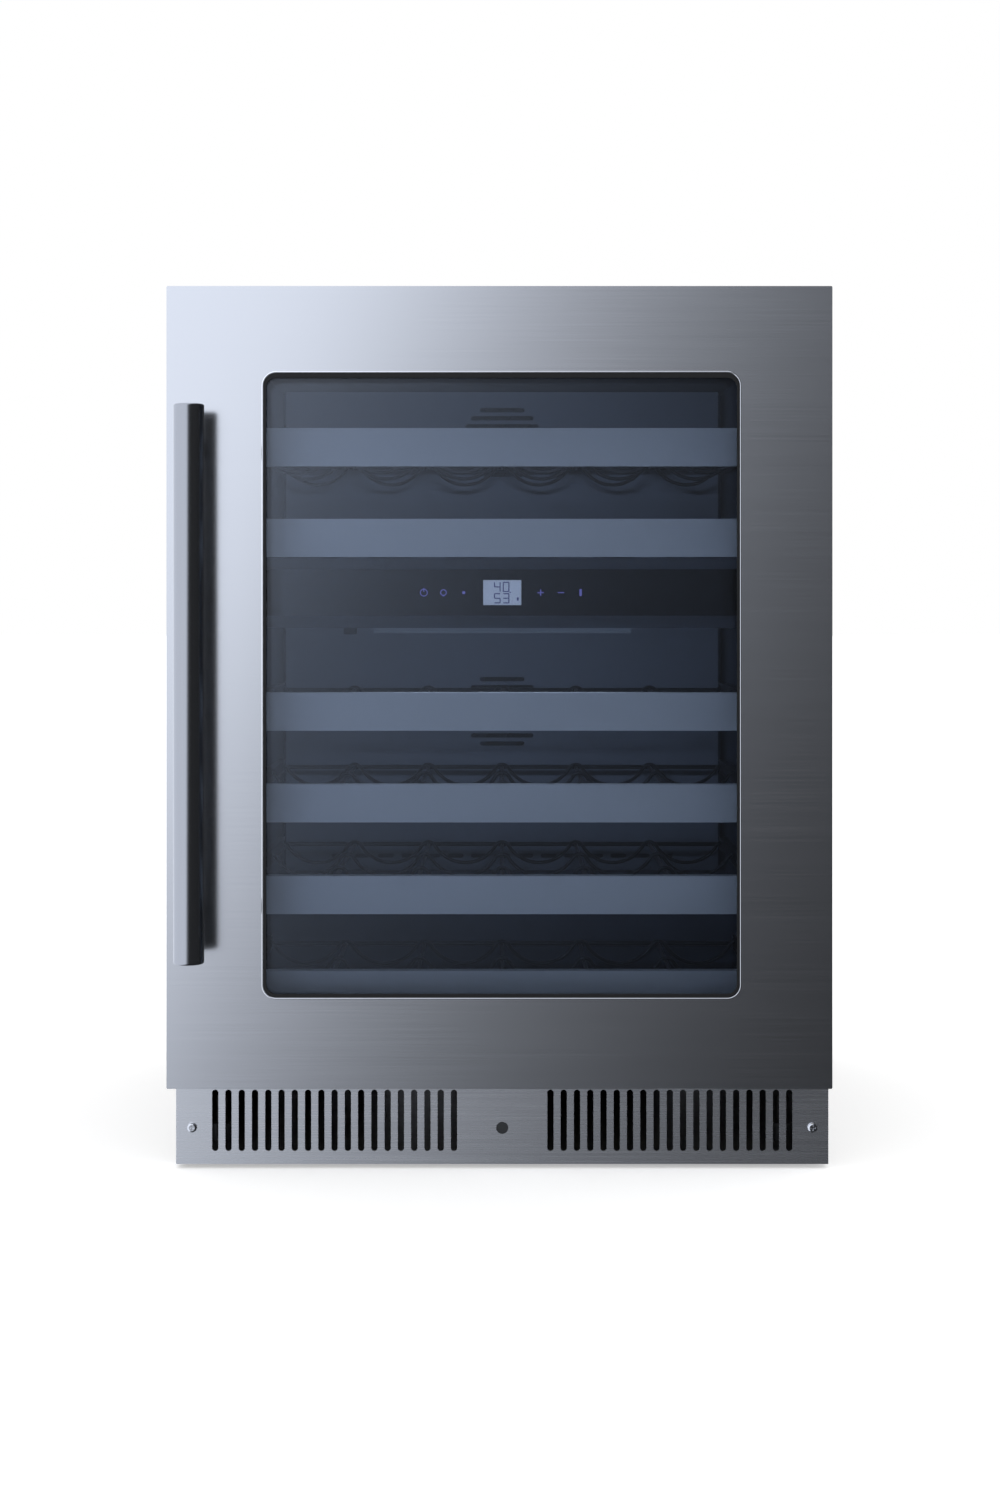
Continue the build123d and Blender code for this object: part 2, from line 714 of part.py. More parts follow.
def rack_frame(top, rear, waves):
    """Welded wire frame: wave wires, straight wires under the crests, and two runner bars."""
    left, right = bar_edges()
    wire_z = top - wire_drop
    low, high = wire_z + bar_rise - bar_height / 2, wire_z + bar_rise + bar_height / 2
    back_y = rack_y + rack_front_sheet
    bar_y = rack_y + rack_front_return + rail_lead
    frame = block(left, left + bar_width, bar_y, rear, low, high)
    pieces = [block(right, right + bar_width, bar_y, rear, low, high)]
    inner = right - left
    for y in (bar_y + cross_wire, rear - cross_wire):
        pieces.append(rod((left + bar_width / 2, y, wire_z), (1, 0, 0), cross_wire, inner))
    for i in range(1, cradle_count):
        x = left + bar_width / 2 + 2 * i * crest_half_pitch
        pieces.append(rod((x, back_y, wire_z), (0, 1, 0), wire, rear - cross_wire - back_y))
    step = (rear - bar_y - 6 * cross_wire) / (waves - 1)
    for i in range(waves):
        path = wave_path(bar_y + 3 * cross_wire + i * step, top)
        section = Plane(origin=path @ 0, z_dir=path % 0) * Circle(wire / 2)
        pieces.append(sweep(section, path=path))
    return frame + pieces


def rack_front(top):
    """Folded stainless front of a rack."""
    x0, x1 = cavity_x0 + rack_front_margin, cavity_x1 - rack_front_margin
    low = top - rack_front_height
    front = block(x0, x1, rack_y, rack_y + rack_front_return, low, top)
    return front - block(x0, x1, rack_y + rack_front_sheet, rack_y + rack_front_return,
                         low + rack_front_sheet, top - rack_front_sheet)


def rail(index, top, wall_x, inward):
    """Channel on the liner wall that a runner bar slides in."""
    mid_z = top - wire_drop + bar_rise
    y0 = rack_y + rack_front_return + slide_gap
    x0, x1 = span(wall_x, wall_x + inward * rail_depth)
    channel = block(x0, x1, y0, rack_rear(index), mid_z - rail_height / 2, mid_z + rail_height / 2)
    x0, x1 = span(wall_x + inward * rail_sheet, wall_x + inward * rail_depth)
    room = bar_height / 2 + slide_gap
    return channel - block(x0, x1, y0, rack_rear(index), mid_z - room, mid_z + room)


def build_racks():
    """Six pull-out racks and the rails that carry them."""
    for index, top in enumerate(rack_tops):
        waves = wave_wires_short if index == len(rack_tops) - 1 else wave_wires_full
        save(f"rack_{index + 1}_frame", rack_frame(top, rack_rear(index), waves))
        save(f"rack_{index + 1}_front", rack_front(top))
    sides = ((cavity_x0, 1), (cavity_x1, -1))
    save("wall_rails", *[rail(i, top, x, way) for i, top in enumerate(rack_tops) for x, way in sides])


def build_divider():
    """Insulated divider with the control fascia, its board, the lights and the air sensors."""
    fascia_y = divider_y - fascia_sheet
    fascia_z0 = divider_low + fascia_low
    fascia_z1 = fascia_z0 + fascia_height
    middle_z = (fascia_z0 + fascia_z1) / 2
    divider = block(cavity_x0, cavity_x1, divider_y, duct_y, divider_low, divider_z1)
    divider += block(cavity_x0, cavity_x1, divider_y - ledge_reach, divider_y,
                     fascia_z0 - ledge_height, fascia_z0)
    divider -= block(cabinet_x - board_width / 2 - 1, cabinet_x + board_width / 2 + 1, divider_y,
                     divider_y + board_pocket, middle_z - board_height / 2 - 1, middle_z + board_height / 2 + 1)
    save("zone_divider", divider)
    fascia = block(cavity_x0, cavity_x1, fascia_y, divider_y, fascia_z0, fascia_z1)
    half_w, half_h = display_width / 2, display_height / 2
    save("control_fascia", fascia - block(cabinet_x - half_w - fit_gap, cabinet_x + half_w + fit_gap, fascia_y,
                                          divider_y, middle_z - half_h - fit_gap, middle_z + half_h + fit_gap))
    save("display", block(cabinet_x - half_w, cabinet_x + half_w, divider_y - display_sheet, divider_y,
                          middle_z - half_h, middle_z + half_h))
    half_w, half_h = board_width / 2, board_height / 2
    save("control_board", block(cabinet_x - half_w, cabinet_x + half_w, divider_y, divider_y + board_sheet,
                                middle_z - half_h, middle_z + half_h))
    lights, sensors = [], []
    for ceiling in (cavity_z1, divider_low):
        y0, y1 = divider_y + 1, divider_y + 1 + light_depth
        strip = block(cabinet_x - light_width / 2, cabinet_x + light_width / 2, y0, y1,
                      ceiling - light_height, ceiling)
        lights.append(chamfer(strip.edges().filter_by(Axis.X).group_by(Axis.Z)[0], light_height * 0.4))
        x = cabinet_x + sensor_offset
        sensor = block(x - sensor_width / 2, x + sensor_width / 2, y0, y1, ceiling - sensor_height, ceiling)
        sensors.append(fillet(sensor.edges().filter_by(Axis.Y).group_by(Axis.Z)[0], sensor_height * 0.3))
    save("light_strips", *lights)
    save("air_sensors", *sensors)


def axial_fan(place, bore, size, depth):
    """Square fan frame and its rotor, on a plane whose normal is the air's way."""
    hub = bore * fan_hub_share / 2
    frame = extrude(place * RectangleRounded(size, size, size * 0.06), amount=depth)
    frame -= extrude(place * Circle(bore / 2), amount=depth)
    rear = place.offset(depth - fan_strut)
    frame += extrude(rear * Circle(hub), amount=fan_strut)
    for angle in (30, 150, 270):
        strip = Rectangle(bore / 2 - hub + fan_strut, fan_strut)
        spoke = Rot(0, 0, angle) * Pos((hub + bore / 2) / 2, 0) * strip
        frame += extrude(rear * spoke, amount=fan_strut)
    frame -= extrude(rear * Circle(fan_shaft_diameter / 2 + run_gap), amount=fan_strut)

    lead = fan_tip_gap
    rotor_depth = depth - fan_strut - 2 * lead
    tip = bore / 2 - fan_tip_gap
    rotor = Pos(0, 0, lead) * extrude(Plane.XY * Circle(hub), amount=rotor_depth)
    chord = rotor_depth * 0.9 / math.sin(math.radians(fan_blade_pitch))
    swept = Pos(0, 0, lead) * extrude(Plane.XY * Circle(tip), amount=rotor_depth)
    for i in range(fan_blade_count):
        vane = Rot(fan_blade_pitch, 0, 0) * Box(tip, chord, fan_blade_sheet)
        vane = Pos(hub * 0.8 + tip / 2, 0, lead + rotor_depth / 2) * vane
        rotor += Rot(0, 0, 360 * i / fan_blade_count) * (vane & swept)
    rotor += extrude(Plane.XY.offset(lead + rotor_depth) * Circle(fan_shaft_diameter / 2),
                     amount=lead + fan_strut - run_gap)
    return frame, place.location * rotor


def duct_panel(low, high, fan_z):
    """Rear wall panel with side flanges, a round grille before the fan and a row of return slots."""
    x0, x1 = cabinet_x - duct_width / 2, cabinet_x + duct_width / 2
    face_back = duct_y + duct_sheet
    panel = block(x0, x1, duct_y, face_back, low, high)
    panel += [block(x0, x0 + duct_sheet, face_back, cavity_y1, low, high),
              block(x1 - duct_sheet, x1, face_back, cavity_y1, low, high)]
    rows = int((zone_fan_bore / 2 - grille_slot) // grille_pitch)
    for row in range(-rows, rows + 1):
        offset = abs(row) * grille_pitch + grille_slot / 2
        length = 2 * math.sqrt((zone_fan_bore / 2) ** 2 - offset ** 2)
        place = front_plane(cabinet_x, duct_y, fan_z + row * grille_pitch)
        panel -= extrude(place * SlotOverall(length, grille_slot), amount=duct_sheet)
    spots = front_plane(cabinet_x, duct_y, low + return_slot_height)
    slot = SlotOverall(return_slot_length, grille_slot)
    return panel - slot_row(spots, return_slot_pitch, return_slot_count, slot, duct_sheet)


def evaporator(low):
    """Cold plate against the liner's rear wall with a serpentine tube welded on."""
    x0 = cabinet_x - evaporator_width / 2
    plate_y = cavity_y1 - evaporator_sheet
    cold_plate = block(x0, x0 + evaporator_width, plate_y, cavity_y1, low, low + evaporator_height)
    tube_y = plate_y - evaporator_tube / 2 + weld
    pitch = evaporator_height / evaporator_runs
    points = []
    for run in range(evaporator_runs):
        ends = [x0 + pitch, x0 + evaporator_width - pitch]
        z = low + (run + 0.5) * pitch
        points += [(x, tube_y, z) for x in (ends if run % 2 == 0 else reversed(ends))]
    return cold_plate + tube(points, evaporator_tube, pitch * 0.45)


def build_cold_side():
    """Duct panels, fans and evaporators of the two zones; returns the fan frames."""
    zones = {"upper": (divider_z1 + duct_gap, cavity_z1 - duct_gap),
             "lower": (step_z + duct_gap, divider_low - duct_gap)}
    panels, frames, cold_plates = [], [], []
    for name, (low, high) in zones.items():
        cold_low = low + evaporator_lift
        fan_z = (cold_low + evaporator_height + high) / 2
        panels.append(duct_panel(low, high, fan_z))
        place = front_plane(cabinet_x, duct_y + duct_sheet, fan_z)
        frame, rotor = axial_fan(place, zone_fan_bore, zone_fan_frame, zone_fan_depth)
        frames.append(frame)
        save(f"{name}_fan", rotor)
        cold_plates.append(evaporator(cold_low))
    save("duct_panels", *panels)
    save("evaporators", *cold_plates)
    return frames


def build_machine(zone_frames):
    """Compressor, condenser with its fan, refrigerant lines and drip tray, and all the fan frames."""
    middle_y = (machine_y0 + inside_y1) / 2
    can_z = base_top + grommet_height
    plate_top = can_z + compressor_plate_sheet
    radius = compressor_diameter / 2
    with BuildPart() as can:
        with BuildSketch(Plane.XZ):
            with BuildLine():
                Line((0, 0), (radius, 0))
                Line((radius, 0), (radius, compressor_can - compressor_crown))
                CenterArc((radius - compressor_crown, compressor_can - compressor_crown),
                          compressor_crown, 0, 90)
                Line((radius - compressor_crown, compressor_can), (0, compressor_can))
                Line((0, compressor_can), (0, 0))
            make_face()
        revolve(axis=Axis.Z)
    compressor = Pos(compressor_x, middle_y, plate_top) * can.part
    half_w, half_d = compressor_plate_width / 2, compressor_plate_depth / 2
    compressor += block(compressor_x - half_w, compressor_x + half_w, middle_y - half_d, middle_y + half_d,
                        can_z, plate_top)
    compressor += block(compressor_x + radius - 4, compressor_x + radius + terminal_box / 2,
                        middle_y - terminal_box / 2, middle_y + terminal_box / 2,
                        plate_top + terminal_box / 2, plate_top + 1.5 * terminal_box)
    stub_z = plate_top + compressor_can / 2
    stub_x = compressor_x - radius - compressor_stub
    discharge_y = middle_y - terminal_box / 2
    suction_y = middle_y + terminal_box / 2
    for y in (discharge_y, suction_y):
        compressor += rod((stub_x, y, stub_z), (1, 0, 0), line_diameter + 2, 2 * compressor_stub)
    save("compressor", compressor)

    grommets = []
    for side in (-1, 1):
        for end in (-1, 1):
            x = compressor_x + side * (half_w - grommet_inset)
            y = middle_y + end * (half_d - grommet_inset)
            grommet = rod((x, y, base_top), (0, 0, 1), grommet_diameter, grommet_height)
            grommets.append(fillet(grommet.edges().filter_by(GeomType.CIRCLE), 1.5))
    save("compressor_grommets", *grommets)

    top_z = plate_top + compressor_can
    tray = block(compressor_x - tray_width / 2, compressor_x + tray_width / 2, middle_y - tray_depth / 2,
                 middle_y + tray_depth / 2, top_z, top_z + tray_height)
    tray -= block(compressor_x - tray_width / 2 + tray_wall, compressor_x + tray_width / 2 - tray_wall,
                  middle_y - tray_depth / 2 + tray_wall, middle_y + tray_depth / 2 - tray_wall,
                  top_z + tray_wall, top_z + tray_height)
    save("drip_tray", tray)

    y0, y1 = middle_y - condenser_depth / 2, middle_y + condenser_depth / 2
    x0, x1 = condenser_x - condenser_thickness / 2, condenser_x + condenser_thickness / 2
    top = base_top + condenser_height
    condenser = block(x0, x1, y0, y0 + condenser_end_sheet, base_top, top)
    pieces = [block(x0, x1, y1 - condenser_end_sheet, y1, base_top, top)]
    for i in range(1, condenser_fins):
        y = y0 + i * condenser_depth / condenser_fins
        pieces.append(block(x0, x1, y, y + condenser_fin_sheet, base_top + condenser_tube, top))
    pitch = (condenser_height - condenser_tube) / condenser_tubes
    tube_heights = [base_top + condenser_tube + (i + 0.5) * pitch for i in range(condenser_tubes)]
    pieces += [rod((condenser_x, y0, z), (0, 1, 0), condenser_tube, condenser_depth) for z in tube_heights]
    for z in (tube_heights[0], tube_heights[-1]):
        pieces.append(rod((condenser_x, y0 - condenser_stub, z), (0, 1, 0), line_diameter + 2, condenser_stub))
    save("condenser", condenser + pieces)

    fan_x = x1 + fan_gap
    fan_z = base_top + condenser_fan_frame / 2
    place = Plane(origin=(fan_x, middle_y, fan_z), x_dir=(0, 1, 0), z_dir=(1, 0, 0))
    frame, rotor = axial_fan(place, condenser_fan_bore, condenser_fan_frame, condenser_fan_depth)
    save("fan_frames", frame, *zone_frames)
    save("condenser_fan", rotor)

    stub_y = y0 - condenser_stub
    hot = [(stub_x, discharge_y, stub_z), (stub_x - 2 * line_bend, discharge_y, stub_z),
           (stub_x - 2 * line_bend, stub_y - line_bend, stub_z),
           (stub_x - 2 * line_bend, stub_y - line_bend, tube_heights[-1]),
           (condenser_x, stub_y - line_bend, tube_heights[-1]), (condenser_x, stub_y, tube_heights[-1])]
    cold = [(stub_x, suction_y, stub_z), (stub_x - 2 * line_bend, suction_y, stub_z),
            (stub_x - 2 * line_bend, suction_y, machine_z1)]
    liquid_y = stub_y - line_bend
    drier_z = machine_z1 - 2 * line_bend - drier_length
    liquid_x = condenser_x - condenser_thickness
    liquid = [(condenser_x, stub_y, tube_heights[0]), (condenser_x, liquid_y, tube_heights[0]),
              (liquid_x, liquid_y, tube_heights[0]), (liquid_x, liquid_y, machine_z1)]
    bend = line_bend * 0.45
    lines = [tube(points, line_diameter, bend) for points in (hot, cold, liquid)]
    lines[2] += rod((liquid_x, liquid_y, drier_z), (0, 0, 1), drier_diameter, drier_length)
    save("refrigerant_lines", *lines)


os.makedirs("parts", exist_ok=True)
build_cabinet()
build_base()
build_rear()
build_feet()
build_kick_plate()
build_lock()
build_door()
build_handle()
build_hinges()
build_racks()
build_divider()
build_machine(build_cold_side())
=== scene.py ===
"""Looks of the wine cooler: procedural finishes, control marks, window trim, light and camera."""
import logging
import math
from dataclasses import dataclass, field
from enum import Enum

import bpy
import numpy as np
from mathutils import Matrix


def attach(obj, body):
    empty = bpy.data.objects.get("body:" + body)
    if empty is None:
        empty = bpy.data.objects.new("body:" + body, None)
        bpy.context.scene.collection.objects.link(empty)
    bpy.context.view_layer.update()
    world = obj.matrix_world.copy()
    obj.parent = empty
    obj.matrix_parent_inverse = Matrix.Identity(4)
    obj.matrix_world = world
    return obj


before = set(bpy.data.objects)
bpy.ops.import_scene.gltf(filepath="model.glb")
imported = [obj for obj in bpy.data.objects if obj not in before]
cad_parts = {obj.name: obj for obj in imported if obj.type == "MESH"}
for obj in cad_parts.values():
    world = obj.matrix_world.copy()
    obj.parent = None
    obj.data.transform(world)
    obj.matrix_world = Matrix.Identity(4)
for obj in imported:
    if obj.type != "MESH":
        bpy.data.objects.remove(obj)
LOG = logging.getLogger("wine_cooler")
Colour = tuple[float, float, float]


class Grain(Enum):
    """Direction and stretch of a surface's fine texture, as repeats per metre along X, Y and Z."""

    NONE = (0.0, 0.0, 0.0)
    ALONG_X = (6.0, 1800.0, 1800.0)
    ALONG_Z = (1800.0, 1800.0, 6.0)
    SPECKLE = (700.0, 700.0, 700.0)
    COARSE = (160.0, 160.0, 160.0)


@dataclass(frozen=True)
class Finish:
    """One procedural surface.

    Attributes:
        colour: linear base colour.
        metallic: share of metal reflection.
        roughness: mean roughness.
        grain: fine texture of the surface.
        spread: how far the grain moves the roughness.
        tone: how far the grain darkens the colour.
        relief: height of the grain, in metres.
        glow: emission strength in the base colour.
        coat: clear coat weight.
    """

    colour: Colour
    metallic: float = 0.0
    roughness: float = 0.5
    grain: Grain = Grain.NONE
    spread: float = 0.0
    tone: float = 0.0
    relief: float = 0.0
    glow: float = 0.0
    coat: float = 0.0


class Look(Enum):
    """Every finish on the appliance."""

    DOOR_STEEL = Finish((0.68, 0.69, 0.71), 1.0, 0.17, Grain.ALONG_X, 0.05, 0.1, 1e-6)
    # Same steel as the door in a brighter colour: painted highlight for the sheen on the kick plate.
    KICK_STEEL_PAINTED_SHEEN = Finish((0.78, 0.79, 0.81), 1.0, 0.26, Grain.ALONG_X, 0.06, 0.1, 1e-6)
    RACK_STEEL = Finish((0.62, 0.63, 0.65), 0.45, 0.42, Grain.ALONG_X, 0.08, 0.1, 2e-6)
    # Handle's stainless in a darker colour than the door's: painted shade.
    BAR_STEEL_PAINTED_SHADE = Finish((0.40, 0.41, 0.43), 1.0, 0.22, Grain.ALONG_Z, 0.06, 0.08, 1e-6)
    # Same steel as the door in a brighter colour: painted highlight for the bright line round the window.
    EDGE_STEEL_PAINTED_HIGHLIGHT = Finish((0.85, 0.86, 0.88), 1.0, 0.12)
    BLACK_SHEET = Finish((0.02, 0.02, 0.022), 0.0, 0.42, Grain.SPECKLE, 0.08, 0.1, 1.5e-5)
    # Galvanised steel made near-black: painted shade, standing for the dark behind the kick slots and in the
    # lock's hole.
    ZINC_PAINTED_SHADE = Finish((0.05, 0.052, 0.055), 0.6, 0.45, Grain.COARSE, 0.1, 0.3)
    ZINC = Finish((0.5, 0.51, 0.53), 0.9, 0.4, Grain.COARSE, 0.12, 0.25)
    FOAM = Finish((0.72, 0.62, 0.36), 0.0, 0.9, Grain.SPECKLE, 0.05, 0.25, 2e-4)
    LINER = Finish((0.035, 0.042, 0.06), 0.0, 0.5, Grain.SPECKLE, 0.06, 0.1, 1e-5)
    DUCT = Finish((0.11, 0.125, 0.16), 0.0, 0.45, Grain.SPECKLE, 0.06, 0.08, 1e-5)
    PLASTIC = Finish((0.02, 0.021, 0.023), 0.0, 0.48, Grain.SPECKLE, 0.08, 0.1, 2e-5)
    GLOSS = Finish((0.004, 0.004, 0.005), 0.0, 0.12, coat=0.4)
    TRIM = Finish((0.002, 0.002, 0.002), 0.0, 0.6)
    BOARD = Finish((0.01, 0.09, 0.03), 0.0, 0.35, Grain.COARSE, 0.05, 0.2)
    DIFFUSER = Finish((0.16, 0.18, 0.21), 0.0, 0.6, Grain.SPECKLE, 0.05, 0.05)
    ALUMINIUM = Finish((0.74, 0.75, 0.77), 1.0, 0.34, Grain.COARSE, 0.1, 0.1)
    BLACK_COAT = Finish((0.012, 0.012, 0.014), 0.0, 0.32, Grain.SPECKLE, 0.06, 0.1, 1e-5)
    RUBBER = Finish((0.016, 0.016, 0.017), 0.0, 0.72, Grain.SPECKLE, 0.05, 0.2, 3e-5)
    COPPER = Finish((0.70, 0.33, 0.18), 1.0, 0.3, Grain.COARSE, 0.12, 0.2)
    CHROME = Finish((0.70, 0.71, 0.73), 1.0, 0.14, Grain.COARSE, 0.05, 0.05)
    SCREEN = Finish((0.34, 0.37, 0.44), 0.0, 0.3, glow=0.8)
    DIGIT = Finish((0.05, 0.055, 0.17), 0.0, 0.4, glow=0.5)
    MARK = Finish((0.12, 0.11, 0.34), 0.0, 0.4, glow=1.0)


class FinishMaker:
    """Builds each finish once, as a node material in Object coordinates."""

    def __init__(self) -> None:
        self._made: dict[str, bpy.types.Material] = {}

    def get(self, look: Look) -> bpy.types.Material:
        """Give the material of a finish.

        Args:
            look: the finish wanted.

        Returns:
            The material, built on first use.
        """
        if look.name not in self._made:
            self._made[look.name] = self._build(look.name.lower(), look.value)
        return self._made[look.name]

    @staticmethod
    def _build(name: str, finish: Finish) -> bpy.types.Material:
        """Build one finish: stretched noise moves colour, roughness and relief.

        Args:
            name: the material's name.
            finish: its values.

        Returns:
            The new material.
        """
        material = bpy.data.materials.new(name)
        material.use_nodes = True
        nodes, links = material.node_tree.nodes, material.node_tree.links
        shader = nodes["Principled BSDF"]
        colour = (*finish.colour, 1.0)
        shader.inputs["Base Color"].default_value = colour
        shader.inputs["Metallic"].default_value = finish.metallic
        shader.inputs["Roughness"].default_value = finish.roughness
        shader.inputs["Coat Weight"].default_value = finish.coat
        shader.inputs["Emission Color"].default_value = colour
        shader.inputs["Emission Strength"].default_value = finish.glow
        if finish.grain is Grain.NONE:
            return material
        place = nodes.new("ShaderNodeTexCoord")
        stretch = nodes.new("ShaderNodeMapping")
        stretch.inputs["Scale"].default_value = finish.grain.value
        noise = nodes.new("ShaderNodeTexNoise")
        noise.inputs["Scale"].default_value = 1.0
        noise.inputs["Detail"].default_value = 3.0
        links.new(place.outputs["Object"], stretch.inputs["Vector"])
        links.new(stretch.outputs["Vector"], noise.inputs["Vector"])
        rough = nodes.new("ShaderNodeMapRange")
        rough.inputs["To Min"].default_value = max(finish.roughness - finish.spread, 0.02)
        rough.inputs["To Max"].default_value = finish.roughness + finish.spread
        links.new(noise.outputs["Fac"], rough.inputs["Value"])
        links.new(rough.outputs["Result"], shader.inputs["Roughness"])
        tint = nodes.new("ShaderNodeMix")
        tint.data_type = "RGBA"
        tint.inputs["A"].default_value = tuple(c * (1.0 - finish.tone) for c in finish.colour) + (1.0,)
        tint.inputs["B"].default_value = colour
        links.new(noise.outputs["Fac"], tint.inputs["Factor"])
        links.new(tint.outputs["Result"], shader.inputs["Base Color"])
        if finish.relief > 0.0:
            bump = nodes.new("ShaderNodeBump")
            bump.inputs["Strength"].default_value = 0.5
            bump.inputs["Distance"].default_value = finish.relief
            links.new(noise.outputs["Fac"], bump.inputs["Height"])
            links.new(bump.outputs["Normal"], shader.inputs["Normal"])
        return material

    def glass(self, tint: Colour, mirror: float) -> bpy.types.Material:
        """Thin tinted pane: mostly clear, with a little mirror.

        Args:
            tint: linear colour that passes through one pane.
            mirror: share reflected.

        Returns:
            The pane's material.
        """
        if "pane" in self._made:
            return self._made["pane"]
        material = bpy.data.materials.new("pane")
        material.use_nodes = True
        nodes, links = material.node_tree.nodes, material.node_tree.links
        nodes.remove(nodes["Principled BSDF"])
        clear = nodes.new("ShaderNodeBsdfTransparent")
        clear.inputs["Color"].default_value = (*tint, 1.0)
        shine = nodes.new("ShaderNodeBsdfGlossy")
        shine.inputs["Roughness"].default_value = 0.05
        shine.inputs["Color"].default_value = (0.9, 0.94, 1.0, 1.0)
        both = nodes.new("ShaderNodeMixShader")
        both.inputs["Fac"].default_value = mirror
        links.new(clear.outputs["BSDF"], both.inputs[1])
        links.new(shine.outputs["BSDF"], both.inputs[2])
        links.new(both.outputs["Shader"], nodes["Material Output"].inputs["Surface"])
        self._made["pane"] = material
        return material


def extent(node: str) -> np.ndarray:
    """Lowest and highest corner of a CAD node.

    Args:
        node: the node's name.

    Returns:
        A 2 by 3 array in metres.
    """
    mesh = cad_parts[node].data
    points = np.empty(len(mesh.vertices) * 3)
    mesh.vertices.foreach_get("co", points)
    points = points.reshape(-1, 3)
    return np.stack([points.min(axis=0), points.max(axis=0)])


def add_piece(name: str, points: np.ndarray, faces: np.ndarray, material: bpy.types.Material,
              body: str) -> bpy.types.Object:
    """Make a mesh piece in the shared frame and let it ride on a body.

    Args:
        name: the piece's name.
        points: vertices, n by 3.
        faces: quads, m by 4.
        material: its finish.
        body: the CAD body it moves with.

    Returns:
        The new object.
    """
    mesh = bpy.data.meshes.new(name)
    mesh.from_pydata(points.tolist(), [], faces.tolist())
    mesh.update()
    mesh.materials.append(material)
    piece = bpy.data.objects.new(name, mesh)
    bpy.context.scene.collection.objects.link(piece)
    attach(piece, body)
    return piece


def thin_boxes(bars: np.ndarray, front: float, depth: float) -> tuple[np.ndarray, np.ndarray]:
    """Upright flat boxes on a front-facing plane.

    Every box is the eight sign combinations of its half sizes about its middle.

    Args:
        bars: rows of middle x, middle z, width and height.
        front: y of the plane that the boxes lie on.
        depth: how far they stand out of it.

    Returns:
        Vertices and quads of all boxes.
    """
    signs = np.array([[x, y, z] for y in (0, 1) for z in (-1, 1) for x in (-1, 1)], dtype=float)
    size = np.stack([bars[:, 2] / 2, np.full(len(bars), -depth), bars[:, 3] / 2], axis=1)
    middle = np.stack([bars[:, 0], np.full(len(bars), front), bars[:, 1]], axis=1)
    points = (middle[:, None, :] + signs[None] * size[:, None, :]).reshape(-1, 3)
    quads = np.array([[4, 5, 7, 6], [0, 2, 3, 1], [0, 1, 5, 4], [2, 6, 7, 3], [0, 4, 6, 2], [1, 3, 7, 5]])
    faces = (quads[None] + 8 * np.arange(len(bars))[:, None, None]).reshape(-1, 4)
    return points, faces


def ring_strip(path: np.ndarray, profile: np.ndarray) -> tuple[np.ndarray, np.ndarray]:
    """Closed strip: a profile of (outward, y) offsets carried along a closed path.

    Each point is the path point plus the outward offset along the path's own normal, at the profile's y.

    Args:
        path: rows of x, z and the outward normal's x and z.
        profile: rows of outward offset and y.

    Returns:
        Vertices and quads of the strip.
    """
    x = path[:, None, 0] + path[:, None, 2] * profile[None, :, 0]
    z = path[:, None, 1] + path[:, None, 3] * profile[None, :, 0]
    y = np.broadcast_to(profile[None, :, 1], x.shape)
    points = np.stack([x, y, z], axis=-1).reshape(-1, 3)
    rows, columns = len(path), len(profile)
    i, j = np.meshgrid(np.arange(rows), np.arange(columns - 1), indexing="ij")
    following = (i + 1) % rows
    here, there = i * columns + j, following * columns + j
    faces = np.stack([here, there, there + 1, here + 1], axis=-1)
    return points, faces.reshape(-1, 4)


def rounded_outline(low: np.ndarray, high: np.ndarray, radius: float, steps: int = 12) -> np.ndarray:
    """Rounded rectangle in x and z with its outward normals.

    Four quarter circles stand at the corners, and straight runs join them.

    Args:
        low: lowest x and z.
        high: highest x and z.
        radius: corner radius.
        steps: points per corner.

    Returns:
        Rows of x, z, normal x and normal z, all the way round.
    """
    turn = np.linspace(0.0, math.pi / 2, steps)
    angles = (turn[None] + np.arange(4)[:, None] * math.pi / 2).reshape(-1)
    normals = np.stack([np.cos(angles), np.sin(angles)], axis=1)
    corner = np.repeat(np.array([[1, 1], [-1, 1], [-1, -1], [1, -1]]), steps, axis=0)
    centre, half = (low + high) / 2, (high - low) / 2 - radius
    return np.concatenate([centre + corner * half + radius * normals, normals], axis=1)


